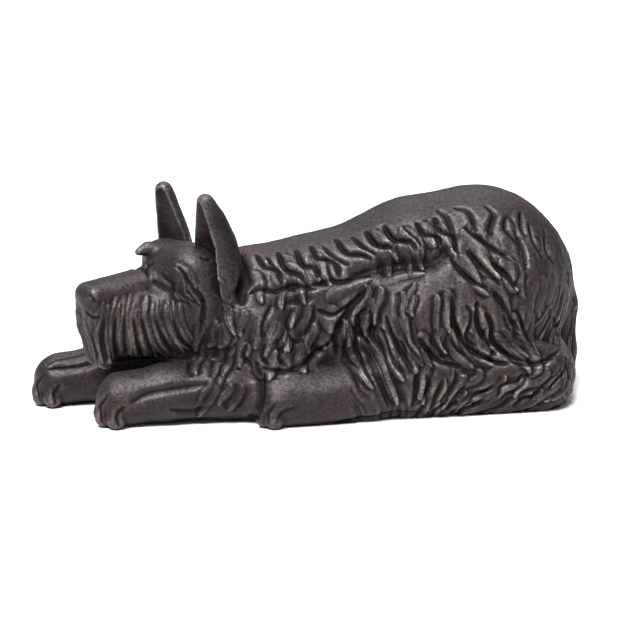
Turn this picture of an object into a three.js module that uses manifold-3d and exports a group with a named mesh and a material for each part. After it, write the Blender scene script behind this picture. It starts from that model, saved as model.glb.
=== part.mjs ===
// A cast-iron door stop in the form of a terrier lying down with its chin on its forelegs.
// It is a hollow casting in two halves, left and right, which meet on the upright parting plane along the
// spine. Two steel pins register the halves and three slotted screws, put in from the right, pull them
// together. The underside is open, and the paws, the hind feet and the rump's rim stand on the floor. Millimetres; the nose points to -X, the dog's right side to +Y, +Z is up.
import * as THREE from "three";
import { RoundedBoxGeometry } from "three/addons/geometries/RoundedBoxGeometry.js";
import { mergeVertices } from "three/addons/utils/BufferGeometryUtils.js";
import Module from "manifold-3d";

const wasm = await Module();
wasm.setup();

// ---------------------------------------------------------------- driving dimensions
const WALL = 5; // thickness of the casting
const FIT_GAP = 0.3; // air left between two pieces that touch
const SIDES = 12; // facets round a form
const ARC_STEPS = 2; // facets along a quarter of a form's round end

const HEAD_TURN = 17; // degrees the head is turned to the dog's left
const NECK_PIVOT = [-64, 0, 0]; // the head's own frame starts here
const BODY_FLATNESS = 0.88; // the trunk's width over its height

// The trunk: x, z and radius of each station along the spine.
const TRUNK = [
  [-55, 50, 31],
  [-25, 50, 33.5],
  [5, 50, 38.5],
  [35, 53, 42],
  [62, 60, 47],
  [92, 64, 47.5],
  [99, 59, 46.5],
];
// Each limb is a chain of [x, y outwards, z, radius].
const THIGH = [
  [98, 20, 62, 30],
  [48, 32, 50, 21],
];
const SHANK = [
  [45, 33, 20, 22],
  [114, 27, 17, 25],
];
const HIND_FOOT = [
  [25, 38, 15, 16],
  [-5, 42, 12.5, 13.5],
  [-22, 43, 11, 12],
];
const UPPER_ARM = [
  [-32, 18, 46, 24],
  [-18, 27, 20, 20],
];
const ELBOW = [-20, 26, 17, 18];
const FOREARM_RADIUS = 14;
const PAW_RADIUS = 14;
const WRIST_Z = 15.5;
const PAW_Z = 13;
const PAW_REACH = 22; // from the wrist to the middle of the paw
const PAW_X = { left: -99, right: -127 }; // the right foreleg is stretched further forward
const FORELEG_Y = 25;
const TAIL = [
  [133, 0, 72, 9],
  [140, -3, 48, 8.5],
  [137, -9, 24, 9],
  [131, -20, 13, 11],
];
// The head, in its own frame.
const SKULL = { at: [2, 0, 66], radii: [26, 24, 21] };
const BROW = { at: [-3.5, 0, 76], size: [22, 36, 22], round: 8 };
const MUZZLE = { at: [-37, 0, 64.5], size: [40, 23, 18], round: 5.5, pitch: -9 };
const FORELOCK = [
  [-9, 12, 86, 4],
  [-16, 13, 87.5, 2.2],
];
const EYEBROW = [
  [-5, 16, 80, 7],
  [-11, 20, 71, 5],
  [-9, 22, 62, 4],
];
const BEARD = [
  [-46, 5, 52, 9],
  [-32, 8, 48, 14.5],
  [-12, 11, 49, 17],
];
const BEARD_TIP = [
  [-52, 4, 48, 8],
  [-50, 5, 34, 6.5],
];
const EAR_OUTSIDE = [
  [10, 24, 64, 12.5],
  [7, 24, 88, 11],
  [1, 25, 112.5, 4],
];
const EAR_HOLLOW = [
  [1, 29, 64, 13],
  [-3, 28, 88, 11],
  [-7, 27, 112, 4],
];
const EAR_FOOT_SHIFT = 4;
const TOES = { count: 4, radius: 5.2, spread: 62, z: 5, sides: 8 };
// The hollow under the trunk that opens on the floor.
const WELL = { x0: -38, x1: 122, halfWidth: 26, top: 42 };

// Fasteners: 1/4 in slotted fillister-head screws and 5 mm steel pins, all along Y.
const SCREW = { radius: 3.1, headRadius: 5.4, headHeight: 4.6, slotWidth: 1.4, slotDepth: 2.2, length: 38 };
const SCREW_AT = {
  shoulder_screw: { x: -14, z: 68, seatY: 17.5 },
  loin_screw: { x: 28, z: 70, seatY: 23 },
  rump_screw: { x: 112, z: 88, seatY: 20 },
};
const BOSS_RADIUS = 8;
const HEAD_CLEARANCE = 0.6;
const HOLE_PAST_TIP = 2;
const PIN = { radius: 2.5, length: 18, bossRadius: 6.5, chamfer: 0.6 };
const PIN_AT = {
  front_locating_pin: { x: -36, z: 74.5 },
  rear_locating_pin: { x: 136, z: 58 },
};
const FAR = 300; // past every surface of the object

// ---------------------------------------------------------------- geometry to solid and back
function solidOf(geometry) {
  geometry.deleteAttribute("normal");
  geometry.deleteAttribute("uv");
  const merged = mergeVertices(geometry, 1e-3);
  const index = merged.index.array;
  const kept = [];
  for (let i = 0; i < index.length; i += 3) {
    const [a, b, c] = index.slice(i, i + 3);
    if (a !== b && b !== c && a !== c) kept.push(a, b, c);
  }
  return new wasm.Manifold(
    new wasm.Mesh({
      numProp: 3,
      vertProperties: new Float32Array(merged.attributes.position.array),
      triVerts: new Uint32Array(kept),
    }),
  );
}

function meshOf(solid, name, material) {
  const data = solid.getMesh();
  const geometry = new THREE.BufferGeometry();
  geometry.setAttribute("position", new THREE.BufferAttribute(data.vertProperties, 3));
  geometry.setIndex(new THREE.BufferAttribute(data.triVerts, 1));
  const mesh = new THREE.Mesh(geometry.toNonIndexed(), material);
  mesh.geometry.computeVertexNormals();
  mesh.name = name;
  return mesh;
}

const join = (solids) => solids.reduce((all, next) => all.add(next));

// ---------------------------------------------------------------- forms
// A closed lathe body along +Y from one ball to another, tangent to both.
function taperGeometry(radiusA, radiusB, length) {
  const lean = Math.asin((radiusA - radiusB) / length);
  const profile = [];
  const arc = (radius, y, from, to, steps) => {
    for (let i = 0; i <= steps; i++) {
      const angle = from + ((to - from) * i) / steps;
      profile.push(new THREE.Vector2(Math.max(0, radius * Math.cos(angle)), y + radius * Math.sin(angle)));
    }
  };
  arc(radiusA, 0, -Math.PI / 2, lean, ARC_STEPS);
  arc(radiusB, length, lean, Math.PI / 2, ARC_STEPS);
  profile[0].x = 0;
  profile.at(-1).x = 0;
  return new THREE.LatheGeometry(profile, SIDES);
}

// A chain of tapers through [x, y, z, radius] stations, thinned by inset, widened or flattened across Y.
function limb(stations, { inset = 0, flatness = 1 } = {}) {
  const pieces = [];
  for (let i = 0; i + 1 < stations.length; i++) {
    const [ax, ay, az, ar] = stations[i];
    const [bx, by, bz, br] = stations[i + 1];
    const along = new THREE.Vector3(bx - ax, by - ay, bz - az);
    const taper = taperGeometry(ar - inset, br - inset, along.length());
    const turn = new THREE.Quaternion().setFromUnitVectors(new THREE.Vector3(0, 1, 0), along.clone().normalize());
    taper.applyQuaternion(turn).translate(ax, ay, az).scale(1, flatness, 1);
    pieces.push(solidOf(taper));
  }
  return join(pieces);
}

const onSide = (stations, side) => stations.map(([x, y, z, r]) => [x, y * side, z, r]);
const trunkStations = () => TRUNK.map(([x, z, r]) => [x, 0, z, r]);

function ellipsoid({ at, radii }, { inset = 0, sides = SIDES } = {}) {
  const ball = new THREE.SphereGeometry(1, sides, sides / 2);
  ball.scale(...radii.map((r) => r - inset));
  return solidOf(ball.translate(...at));
}

function roundedBlock({ at, size, round, pitch = 0 }) {
  const block = new RoundedBoxGeometry(...size, 2, round);
  block.rotateY(THREE.MathUtils.degToRad(pitch));
  return solidOf(block.translate(...at));
}

// A cylinder along Y from y0 to y1.
function rod(radius, x, z, y0, y1, sides = SIDES) {
  const cylinder = new THREE.CylinderGeometry(radius, radius, Math.abs(y1 - y0), sides);
  return solidOf(cylinder.translate(x, (y0 + y1) / 2, z));
}

// ---------------------------------------------------------------- the dog
// Moves a solid from the head's own frame into the row frame.
function placeHead(solid) {
  return solid.rotate([0, 0, HEAD_TURN]).translate(NECK_PIVOT);
}

// The right ear stands more upright: its foot is further forward, and both tips stay where they are.
function ear(side) {
  const lean = ([x, y, z, r], i) => [side > 0 && i < 2 ? x - EAR_FOOT_SHIFT : x, y * side, z, r];
  return limb(EAR_OUTSIDE.map(lean)).subtract(limb(EAR_HOLLOW.map(lean)));
}

function head() {
  const forms = [ellipsoid(SKULL), roundedBlock(BROW), roundedBlock(MUZZLE)];
  for (const side of [-1, 1]) {
    for (const chain of [BEARD, BEARD_TIP, EYEBROW, FORELOCK]) forms.push(limb(onSide(chain, side)));
    forms.push(ear(side));
  }
  return placeHead(join(forms));
}

// Toes fan round the front of a paw whose middle is at x, y.
function toes(x, y, reach) {
  const forms = [];
  for (let i = 0; i < TOES.count; i++) {
    const angle = THREE.MathUtils.degToRad(TOES.spread * ((2 * i) / (TOES.count - 1) - 1));
    const at = [x - reach * Math.cos(angle), y + reach * Math.sin(angle), TOES.z];
    forms.push(ellipsoid({ at, radii: [TOES.radius, TOES.radius, TOES.radius] }, { sides: TOES.sides }));
  }
  return join(forms);
}

function foreleg(side) {
  const y = FORELEG_Y * side;
  const pawX = side < 0 ? PAW_X.left : PAW_X.right;
  const wrist = [pawX + PAW_REACH, y, WRIST_Z, FOREARM_RADIUS];
  const [ex, ey, ez, er] = ELBOW;
  const leg = limb([[ex, ey * side, ez, er], wrist, [pawX, y, PAW_Z, PAW_RADIUS]]);
  return leg.add(toes(pawX, y, PAW_RADIUS - 3));
}

function hindFoot(side) {
  const [x, y, , r] = HIND_FOOT.at(-1);
  return limb(onSide(HIND_FOOT, side)).add(toes(x, y * side, r - 2.5));
}

function outside() {
  const forms = [limb(trunkStations(), { flatness: BODY_FLATNESS }), limb(TAIL), head()];
  for (const side of [-1, 1]) {
    for (const chain of [THIGH, SHANK, UPPER_ARM]) forms.push(limb(onSide(chain, side)));
    forms.push(foreleg(side), hindFoot(side));
  }
  const floor = solidOf(new THREE.BoxGeometry(2 * FAR, 2 * FAR, FAR).translate(0, 0, -FAR / 2));
  return join(forms).subtract(floor);
}

// The core: every hollow form one wall inside its own outside, and the well that opens underneath.
function core() {
  const { x0, x1, halfWidth, top } = WELL;
  const plan = new THREE.Shape();
  plan.moveTo(x0 + halfWidth, -halfWidth);
  plan.lineTo(x1 - halfWidth, -halfWidth);
  plan.absarc(x1 - halfWidth, 0, halfWidth, -Math.PI / 2, Math.PI / 2, false);
  plan.lineTo(x0 + halfWidth, halfWidth);
  plan.absarc(x0 + halfWidth, 0, halfWidth, Math.PI / 2, (3 * Math.PI) / 2, false);
  const well = new THREE.ExtrudeGeometry(plan, { depth: top + 1, bevelEnabled: false, curveSegments: SIDES / 2 });
  const forms = [
    solidOf(well.translate(0, 0, -1)),
    limb(trunkStations(), { inset: WALL, flatness: BODY_FLATNESS - 0.01 }),
    placeHead(ellipsoid(SKULL, { inset: WALL })),
  ];
  for (const side of [-1, 1]) {
    for (const chain of [THIGH, SHANK, UPPER_ARM]) forms.push(limb(onSide(chain, side), { inset: WALL }));
  }
  return join(forms);
}

// Everything on one side of the parting plane, short of it by half the fit gap.
function halfSpace(side) {
  const block = new THREE.BoxGeometry(2 * FAR, FAR, 2 * FAR);
  return solidOf(block.translate(0, (side * (FAR + FIT_GAP)) / 2, 0));
}

// ---------------------------------------------------------------- fasteners
function screw({ x, z, seatY }) {
  const { radius, headRadius, headHeight, slotWidth, slotDepth, length } = SCREW;
  const head = rod(headRadius, x, z, seatY + FIT_GAP, seatY + FIT_GAP + headHeight);
  const shank = rod(radius, x, z, seatY + FIT_GAP - length, seatY + 1);
  const slot = new THREE.BoxGeometry(2 * headRadius + 2, 2 * slotDepth, slotWidth);
  slot.translate(x, seatY + FIT_GAP + headHeight, z);
  return head.add(shank).subtract(solidOf(slot));
}

function pin({ x, z }) {
  const { radius, length, chamfer } = PIN;
  const half = length / 2;
  const profile = [
    [0, -half],
    [radius - chamfer, -half],
    [radius, -half + chamfer],
    [radius, half - chamfer],
    [radius - chamfer, half],
    [0, half],
  ].map(([r, y]) => new THREE.Vector2(r, y));
  return solidOf(new THREE.LatheGeometry(profile, SIDES).translate(x, 0, z));
}

// Bosses run right through the hollow from wall to wall; the casting's own outline trims them.
function bosses() {
  const screwBosses = Object.values(SCREW_AT).map(({ x, z }) => rod(BOSS_RADIUS, x, z, -FAR, FAR));
  const half = PIN.length / 2 + 3;
  const pinBosses = Object.values(PIN_AT).map(({ x, z }) => rod(PIN.bossRadius, x, z, -half, half));
  return join([...screwBosses, ...pinBosses]);
}

// Holes for the screws, blind in the left half, with a counterbore for each head in the right, and for the pins.
function holes() {
  const cuts = [];
  for (const { x, z, seatY } of Object.values(SCREW_AT)) {
    const tip = seatY - SCREW.length - HOLE_PAST_TIP;
    cuts.push(rod(SCREW.radius + FIT_GAP, x, z, tip, seatY + 1));
    cuts.push(rod(SCREW.headRadius + HEAD_CLEARANCE, x, z, seatY, FAR));
  }
  for (const { x, z } of Object.values(PIN_AT)) {
    cuts.push(rod(PIN.radius + FIT_GAP, x, z, -PIN.length / 2 - FIT_GAP, PIN.length / 2 + FIT_GAP));
  }
  return join(cuts);
}

// ---------------------------------------------------------------- assembly
const castIron = new THREE.MeshStandardMaterial({ color: 0x3a302c, roughness: 0.5, metalness: 0.6 });
const screwSteel = new THREE.MeshStandardMaterial({ color: 0x3b3836, roughness: 0.45, metalness: 0.9 });
const pinSteel = new THREE.MeshStandardMaterial({ color: 0x8a8886, roughness: 0.35, metalness: 1.0 });

const skin = outside();
const casting = skin.subtract(core()).add(skin.intersect(bosses())).subtract(holes());

const dog = new THREE.Group();
dog.add(meshOf(casting.intersect(halfSpace(-1)), "left_casting", castIron));
dog.add(meshOf(casting.intersect(halfSpace(1)), "right_casting", castIron));
for (const [name, at] of Object.entries(SCREW_AT)) dog.add(meshOf(screw(at), name, screwSteel));
for (const [name, at] of Object.entries(PIN_AT)) dog.add(meshOf(pin(at), name, pinSteel));

// The frame's origin is the middle of the box's bottom.
const bounds = new THREE.Box3().setFromObject(dog);
const centre = bounds.getCenter(new THREE.Vector3());
dog.position.set(-centre.x, -centre.y, -bounds.min.z);

export default dog;
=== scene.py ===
"""A cast-iron door stop in the form of a terrier lying with its chin on its forelegs.

The figure is sculpted in three passes: rounded forms blended into one distance field and meshed,
locks of hair and cut lines laid over that surface, and the halves, the hollow and the screw holes cut
out of the result. Sculpting is done in millimetres, in the part's frame moved along X so that the neck
pivot and the limbs keep their round numbers. Y is negative on the dog's left.
"""
import math

import bpy
import numpy as np
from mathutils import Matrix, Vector, noise
from mathutils.bvhtree import BVHTree
from mathutils.kdtree import KDTree


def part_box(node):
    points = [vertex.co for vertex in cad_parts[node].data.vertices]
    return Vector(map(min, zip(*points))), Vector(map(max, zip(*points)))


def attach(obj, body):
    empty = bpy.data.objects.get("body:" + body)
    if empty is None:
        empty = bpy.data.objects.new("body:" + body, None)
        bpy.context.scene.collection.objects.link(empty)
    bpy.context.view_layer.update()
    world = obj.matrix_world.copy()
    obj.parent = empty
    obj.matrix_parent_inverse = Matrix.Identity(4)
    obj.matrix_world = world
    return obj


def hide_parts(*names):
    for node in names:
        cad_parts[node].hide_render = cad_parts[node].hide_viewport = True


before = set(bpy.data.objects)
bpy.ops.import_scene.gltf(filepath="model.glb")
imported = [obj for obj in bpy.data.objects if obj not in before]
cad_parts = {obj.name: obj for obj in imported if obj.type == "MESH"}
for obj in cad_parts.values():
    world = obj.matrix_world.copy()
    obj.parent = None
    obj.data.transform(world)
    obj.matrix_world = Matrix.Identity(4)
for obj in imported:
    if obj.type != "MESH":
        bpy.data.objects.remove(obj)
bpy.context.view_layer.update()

MM = 0.001
LEFT, RIGHT = -1, 1

# ---------------------------------------------------------------- where the CAD holds things
SCREWS = ("shoulder_screw", "loin_screw", "rump_screw")
PINS = ("front_locating_pin", "rear_locating_pin")
LOIN_SCREW_X = 28.0  # where the sculpting frame has the loin screw


def cad_box_mm(node):
    low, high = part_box(node)
    return np.array(low) / MM, np.array(high) / MM


def cad_centre_mm(node):
    low, high = cad_box_mm(node)
    return (low + high) / 2


SHIFT_X = cad_centre_mm("loin_screw")[0] - LOIN_SCREW_X


def axis_of(node):
    """Where a screw's or pin's axis, which runs along Y, stands in the sculpting frame."""
    x, _, z = cad_centre_mm(node)
    return x - SHIFT_X, 0, z


# ---------------------------------------------------------------- the figure's forms, in millimetres
WALL = 5.0
HALF_GAP = 0.15  # each casting stops this far short of the parting plane
HEAD_TURN = 17.0  # degrees, to the dog's left
NECK_PIVOT = (-64, 0, 0)
BODY_FLATNESS = 0.88

TRUNK = [
    (-55, 0, 50, 31),
    (-25, 0, 50, 33.5),
    (5, 0, 50, 38.5),
    (35, 0, 53, 42),
    (62, 0, 60, 47),
    (92, 0, 64, 47.5),
    (99, 0, 59, 46.5),
]
THIGH = [(98, 20, 62, 30), (48, 32, 50, 21)]
SHANK = [(45, 33, 20, 22), (114, 27, 17, 25)]
HIND_FOOT = [(25, 38, 15, 16), (-5, 42, 12.5, 13.5), (-22, 43, 11, 12)]
UPPER_ARM = [(-32, 18, 46, 24), (-18, 27, 20, 20)]
ELBOW = (-20, 26, 17, 18)
PAW_X = {LEFT: -99, RIGHT: -127}
FORELEG_Y = 25
WRIST_Z, PAW_Z, PAW_RADIUS, PAW_REACH = 15.5, 13, 14, 22
TOE_ANGLES = (-62, -21, 21, 62)
TAIL = [(133, 0, 72, 9), (140, -3, 48, 8.5), (137, -9, 24, 9), (131, -20, 13, 11)]


# ---------------------------------------------------------------- distance fields
FLOOR_SPARE = 2.0
UNSEEN = 30.0  # the distance given to points that a form can't affect
REACH = 14.0  # how far past its own box a form is worked out


def turn(yaw=0.0, pitch=0.0):
    """A rotation matrix: pitch about Y first, and then yaw about Z, in degrees."""
    y, p = math.radians(yaw), math.radians(pitch)
    about_z = [[math.cos(y), -math.sin(y), 0], [math.sin(y), math.cos(y), 0], [0, 0, 1]]
    about_y = [[math.cos(p), 0, math.sin(p)], [0, 1, 0], [-math.sin(p), 0, math.cos(p)]]
    return (np.array(about_z) @ np.array(about_y)).astype(np.float32)


def within(points, low, high, distance):
    """distance(points), worked out only for the points near the box from low to high."""
    near = np.all((points > np.array(low) - REACH) & (points < np.array(high) + REACH), axis=1)
    result = np.full(len(points), UNSEEN, np.float32)
    if near.any():
        result[near] = distance(points[near])
    return result


def unite(a, b, blend):
    overlap = np.maximum(blend - np.abs(a - b), 0) / blend
    return np.minimum(a, b) - overlap * overlap * blend * 0.25


def cut(a, b, blend):
    """a without b, the edge between them rounded by blend."""
    return -unite(-a, b, blend)


def ball(points, at, radii):
    at, radii = np.float32(at), np.float32(radii)

    def distance(p):
        q = p - at
        k0 = np.sqrt(((q / radii) ** 2).sum(1))
        k1 = np.sqrt(((q / (radii * radii)) ** 2).sum(1)) + 1e-9
        return k0 * (k0 - 1) / k1

    return within(points, at - radii, at + radii, distance)


def block(points, at, size, rounding, pitch=0.0):
    half = np.float32(size) / 2

    def distance(p):
        q = np.abs((p - np.float32(at)) @ turn(pitch=pitch)) - (half - rounding)
        return np.sqrt((np.maximum(q, 0) ** 2).sum(1)) + np.minimum(q.max(1), 0) - rounding

    reach = float(np.linalg.norm(half))
    return within(points, np.array(at) - reach, np.array(at) + reach, distance)


def taper(p, a, ra, b, rb):
    """The exact distance to the hull of two balls."""
    along = b - a
    length2 = along @ along
    fall = ra - rb
    side2 = length2 - fall * fall
    pa = p - a
    y = pa @ along
    z = y - length2
    x2 = ((pa * length2 - y[:, None] * along) ** 2).sum(1)
    y2 = y * y * length2
    z2 = z * z * length2
    k = np.sign(fall) * fall * fall * x2
    result = (np.sqrt(np.maximum(x2 * side2 / length2, 0)) + y * fall) / length2 - ra
    past_b = np.sign(z) * side2 * z2 > k
    before_a = ~past_b & (np.sign(y) * side2 * y2 < k)
    result = np.where(past_b, np.sqrt(x2 + z2) / length2 - rb, result)
    return np.where(before_a, np.sqrt(x2 + y2) / length2 - ra, result)


def limb(points, stations, flatness=1.0, blend=0.0, inset=0.0):
    """A chain of tapers through (x, y, z, radius) stations, flattened across Y."""
    table = np.float32(stations)
    radii = table[:, 3] - inset
    squeeze = np.float32([1, 1 / flatness, 1])
    low = (table[:, :3] - radii[:, None]).min(0)
    high = (table[:, :3] + radii[:, None]).max(0)

    def distance(p):
        result = None
        for (a, ra), (b, rb) in zip(zip(table[:-1, :3], radii[:-1]), zip(table[1:, :3], radii[1:])):
            piece = taper(p * squeeze, a * squeeze, ra, b * squeeze, rb)
            if result is None:
                result = piece
            elif blend:
                result = unite(result, piece, blend)
            else:
                result = np.minimum(result, piece)
        return result

    return within(points, low, high, distance)


def to_head(points):
    """From the sculpting frame to the head's own, which has its origin at the neck pivot."""
    return (points - np.float32(NECK_PIVOT)) @ turn(HEAD_TURN)


def from_head(points):
    return points @ turn(HEAD_TURN).T + np.float32(NECK_PIVOT)


def flipped(points, side):
    """Points with the given side of the dog brought over to positive Y."""
    return points * np.float32([1, side, 1])


def head_field(points):
    q = to_head(points)
    paired = q.copy()
    paired[:, 1] = np.abs(paired[:, 1])
    field = ball(q, (2, 0, 66), (26, 24, 21))
    field = unite(field, block(q, (-3.5, 0, 75), (22, 36, 22), 8), 8)
    field = unite(field, ball(paired, (-3, 17.5, 77), (11, 10, 11)), 4)
    field = unite(field, ball(paired, (0, 21, 69), (11, 10, 14)), 4)
    # forelock curl, eyebrows
    field = unite(field, limb(q, [(-8, 5, 81, 7), (-17, 6, 85.5, 3.8), (-22.5, 6, 84.2, 2.0)]), 3)
    field = unite(field, limb(paired, [(-7, 14, 80, 6), (-8, 18, 72, 5), (-3, 21, 60, 4)]), 5)
    # muzzle bridge, with the nose pad in front
    field = unite(field, block(q, (-37, 0, 64.5), (40, 23, 18), 5.5, pitch=-9), 4)
    field = unite(field, ball(q, (-55, 0, 65.5), (4.2, 7.5, 5.6)), 2)
    # beard and whiskers
    field = unite(field, limb(paired, [(-46, 5, 52, 9), (-32, 8, 48, 14.5), (-12, 11, 49, 17)]), 5)
    field = unite(field, limb(paired, [(-50, 5, 57, 6.5), (-36, 8, 57.5, 8.5), (-18, 12, 58, 10)]), 5)
    field = unite(field, limb(paired, [(-49, 4, 48, 7), (-47, 5, 34, 6)]), 6)
    return field


def ear_field(points, side):
    """An ear: a tapering limb with a cup cut out of it. The two cups face nearly the same way."""
    q = flipped(to_head(points), side)
    if side == LEFT:
        outside = limb(q, [(10, 24, 62, 13.5), (8, 24, 76, 13.2), (6.2, 24, 90, 11.6), (4, 24.5, 102, 8.2),
                           (1, 25, 112, 4.6)])
        cup = limb(q, [(0, 25, 58, 12), (-3.5, 25, 88, 10.5), (-6, 25.5, 110, 4.2)])
    else:
        outside = limb(q, [(9, 24, 62, 10), (6, 24, 88, 8.3), (1, 25, 112, 4.8)])
        outside = unite(outside, limb(q, [(12, 28, 62, 10), (8.5, 29, 86, 8.3), (2.5, 28, 109, 4.2)]), 3)
        cup = limb(q, [(-1.6, 18.4, 58, 13), (-3.7, 18.8, 86, 12), (-5, 21.8, 109, 5.6)])
    return cut(outside, cup, 0.8)


def leg_field(points, side):
    q = flipped(points, side)
    paw_x = PAW_X[side]
    wrist = (paw_x + PAW_REACH, FORELEG_Y, WRIST_Z, PAW_RADIUS)
    paw = (paw_x, FORELEG_Y, PAW_Z, PAW_RADIUS)
    field = limb(q, THIGH)
    field = unite(field, limb(q, SHANK), 12)
    field = unite(field, limb(q, HIND_FOOT), 6)
    field = unite(field, limb(q, UPPER_ARM), 10)
    field = unite(field, limb(q, [ELBOW, wrist]), 8)
    field = unite(field, limb(q, [wrist, paw]), 5)
    for x, y, reach in ((paw_x, FORELEG_Y, PAW_RADIUS - 3.5), (HIND_FOOT[-1][0], HIND_FOOT[-1][1], 8.5)):
        for angle in TOE_ANGLES:
            a = math.radians(angle)
            knuckle = (x - (reach - 2.5) * math.cos(a), y + (reach - 2) * math.sin(a), 13, 5.4)
            tip = (x - (reach + 0.5) * math.cos(a), y + (reach + 0.5) * math.sin(a), 5.2, 5.0)
            field = unite(field, limb(q, [knuckle, tip]), 1.0)
    return field


def figure_field(points):
    field = limb(points, TRUNK, flatness=BODY_FLATNESS, blend=8)
    for side in (LEFT, RIGHT):
        field = unite(field, leg_field(points, side), 9)
    field = unite(field, head_field(points), 6)
    for side in (LEFT, RIGHT):
        field = unite(field, ear_field(points, side), 1.5)
    field = unite(field, limb(points, TAIL, blend=4), 5)
    return np.maximum(field, -FLOOR_SPARE - points[:, 2])  # closed a little under the floor, and cut later


WELL = {"x0": -38, "x1": 122, "half_width": 26, "top": 42}
BOSS_RADIUS = 8
PIN_BOSS = {"radius": 6.5, "half_length": 12}


def core_field(points):
    """The hollow: the forms drawn in by one wall, and the well that opens underneath, less the bosses."""
    field = limb(points, TRUNK, flatness=BODY_FLATNESS - 0.01, blend=8, inset=WALL)
    for side in (LEFT, RIGHT):
        q = flipped(points, side)
        for stations in (THIGH, SHANK, UPPER_ARM):
            field = unite(field, limb(q, stations, inset=WALL), 4)
    field = unite(field, ball(to_head(points), (2, 0, 66), (21, 19, 16)), 4)
    half_width = WELL["half_width"]
    beside = points[:, 0] - np.clip(points[:, 0], WELL["x0"] + half_width, WELL["x1"] - half_width)
    across = np.hypot(beside, points[:, 1]) - half_width
    field = unite(field, np.maximum(across, points[:, 2] - WELL["top"]).astype(np.float32), 3)
    for name in SCREWS:
        x, _, z = axis_of(name)
        boss = np.hypot(points[:, 0] - x, points[:, 2] - z) - BOSS_RADIUS
        field = cut(field, boss.astype(np.float32), 2)
    for name in PINS:
        x, _, z = axis_of(name)
        boss = np.hypot(points[:, 0] - x, points[:, 2] - z) - PIN_BOSS["radius"]
        boss = np.maximum(boss, np.abs(points[:, 1]) - PIN_BOSS["half_length"])
        field = cut(field, boss.astype(np.float32), 2)
    return field


# ---------------------------------------------------------------- meshing a field
CORNERS = [(i, j, k) for i in (0, 1) for j in (0, 1) for k in (0, 1)]


def sample(field, low, high, step, coarse=4):
    """The field on a grid: exact close to its surface, and only of the right sign elsewhere."""
    size = coarse * step
    count = np.ceil((np.array(high) - low) / size).astype(int)
    axes = [low[i] + size * np.arange(count[i] + 1) for i in range(3)]
    nodes = np.stack(np.meshgrid(*axes, indexing="ij"), -1).reshape(-1, 3).astype(np.float32)
    rough = field(nodes).reshape([c + 1 for c in count])
    nearest = np.full(count, UNSEEN, np.float32)
    for i, j, k in CORNERS:
        corner = rough[i : i + count[0], j : j + count[1], k : k + count[2]]
        nearest = np.minimum(nearest, np.abs(corner))
    busy = nearest < size * 1.3
    values = rough[:-1, :-1, :-1]
    for axis in range(3):
        values = np.repeat(values, coarse, axis)
        busy = np.repeat(busy, coarse, axis)
    spots = np.argwhere(busy)
    fine = (np.array(low) + spots * step).astype(np.float32)
    values = values.copy()
    values[tuple(spots.T)] = field(fine)
    return values


def surface_net(values, low, step):
    """Vertices and quads of the zero surface, one vertex in each cell that the surface crosses."""
    inside = values < 0
    nx, ny, nz = (n - 1 for n in values.shape)
    filled = sum(inside[i : i + nx, j : j + ny, k : k + nz].astype(np.int8) for i, j, k in CORNERS)
    cells = np.argwhere((filled > 0) & (filled < 8))
    total = np.zeros((len(cells), 3), np.float32)
    hits = np.zeros(len(cells), np.float32)
    at_corner = {c: values[tuple((cells + c).T)] for c in CORNERS}
    for start in CORNERS:
        for axis in range(3):
            if start[axis]:
                continue
            end = tuple(1 if i == axis else start[i] for i in range(3))
            a, b = at_corner[start], at_corner[end]
            crossing = (a < 0) != (b < 0)
            part = np.where(crossing, a / np.where(crossing, a - b, 1), 0)
            spot = np.tile(np.float32(start), (len(cells), 1))
            spot[:, axis] = part
            total[crossing] += spot[crossing]
            hits[crossing] += 1
    vertices = np.array(low) + (cells + total / hits[:, None]) * step
    number = np.full((nx, ny, nz), -1, np.int32)
    number[tuple(cells.T)] = np.arange(len(cells))
    quads = []
    for axis in range(3):
        u, v = (axis + 1) % 3, (axis + 2) % 3
        lower = [slice(1, -1)] * 3
        upper = [slice(1, -1)] * 3
        lower[axis], upper[axis] = slice(0, -1), slice(1, None)
        changed = inside[tuple(lower)] != inside[tuple(upper)]
        edges = np.argwhere(changed)
        offset = np.ones(3, int)
        offset[axis] = 0
        edges = edges + offset
        going_out = inside[tuple(edges.T)]
        ring = []
        for du, dv in ((0, 0), (1, 0), (1, 1), (0, 1)):
            cell = edges.copy()
            cell[:, u] -= du
            cell[:, v] -= dv
            ring.append(number[tuple(cell.T)])
        ring = np.stack(ring, 1)
        quads.append(np.where(going_out[:, None], ring, ring[:, ::-1]))
    return vertices.astype(np.float32), np.concatenate(quads)


def edges_of(quads):
    pairs = np.concatenate([quads[:, [0, 1]], quads[:, [1, 2]], quads[:, [2, 3]], quads[:, [3, 0]]])
    pairs.sort(axis=1)
    return np.unique(pairs, axis=0)


def neighbour_mean(values, edges):
    """For each vertex, the mean of values over the vertices joined to it by an edge."""
    a, b = edges[:, 0], edges[:, 1]
    count = np.bincount(a, minlength=len(values)) + np.bincount(b, minlength=len(values))
    columns = values.reshape(len(values), -1)
    sums = [
        np.bincount(a, columns[b, i], len(values)) + np.bincount(b, columns[a, i], len(values))
        for i in range(columns.shape[1])
    ]
    return (np.stack(sums, 1) / np.maximum(count, 1)[:, None]).reshape(values.shape)


def smoothed(values, edges, rounds):
    for _ in range(rounds):
        values = (values + neighbour_mean(values, edges)) / 2
    return values


def vertex_normals(vertices, quads):
    a, b, c, d = (vertices[quads[:, i]] for i in range(4))
    face = np.cross(c - a, d - b)
    normals = np.zeros_like(vertices, dtype=np.float64)
    for i in range(4):
        for axis in range(3):
            normals[:, axis] += np.bincount(quads[:, i], face[:, axis], len(vertices))
    return normals / (np.linalg.norm(normals, axis=1)[:, None] + 1e-12)


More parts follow.
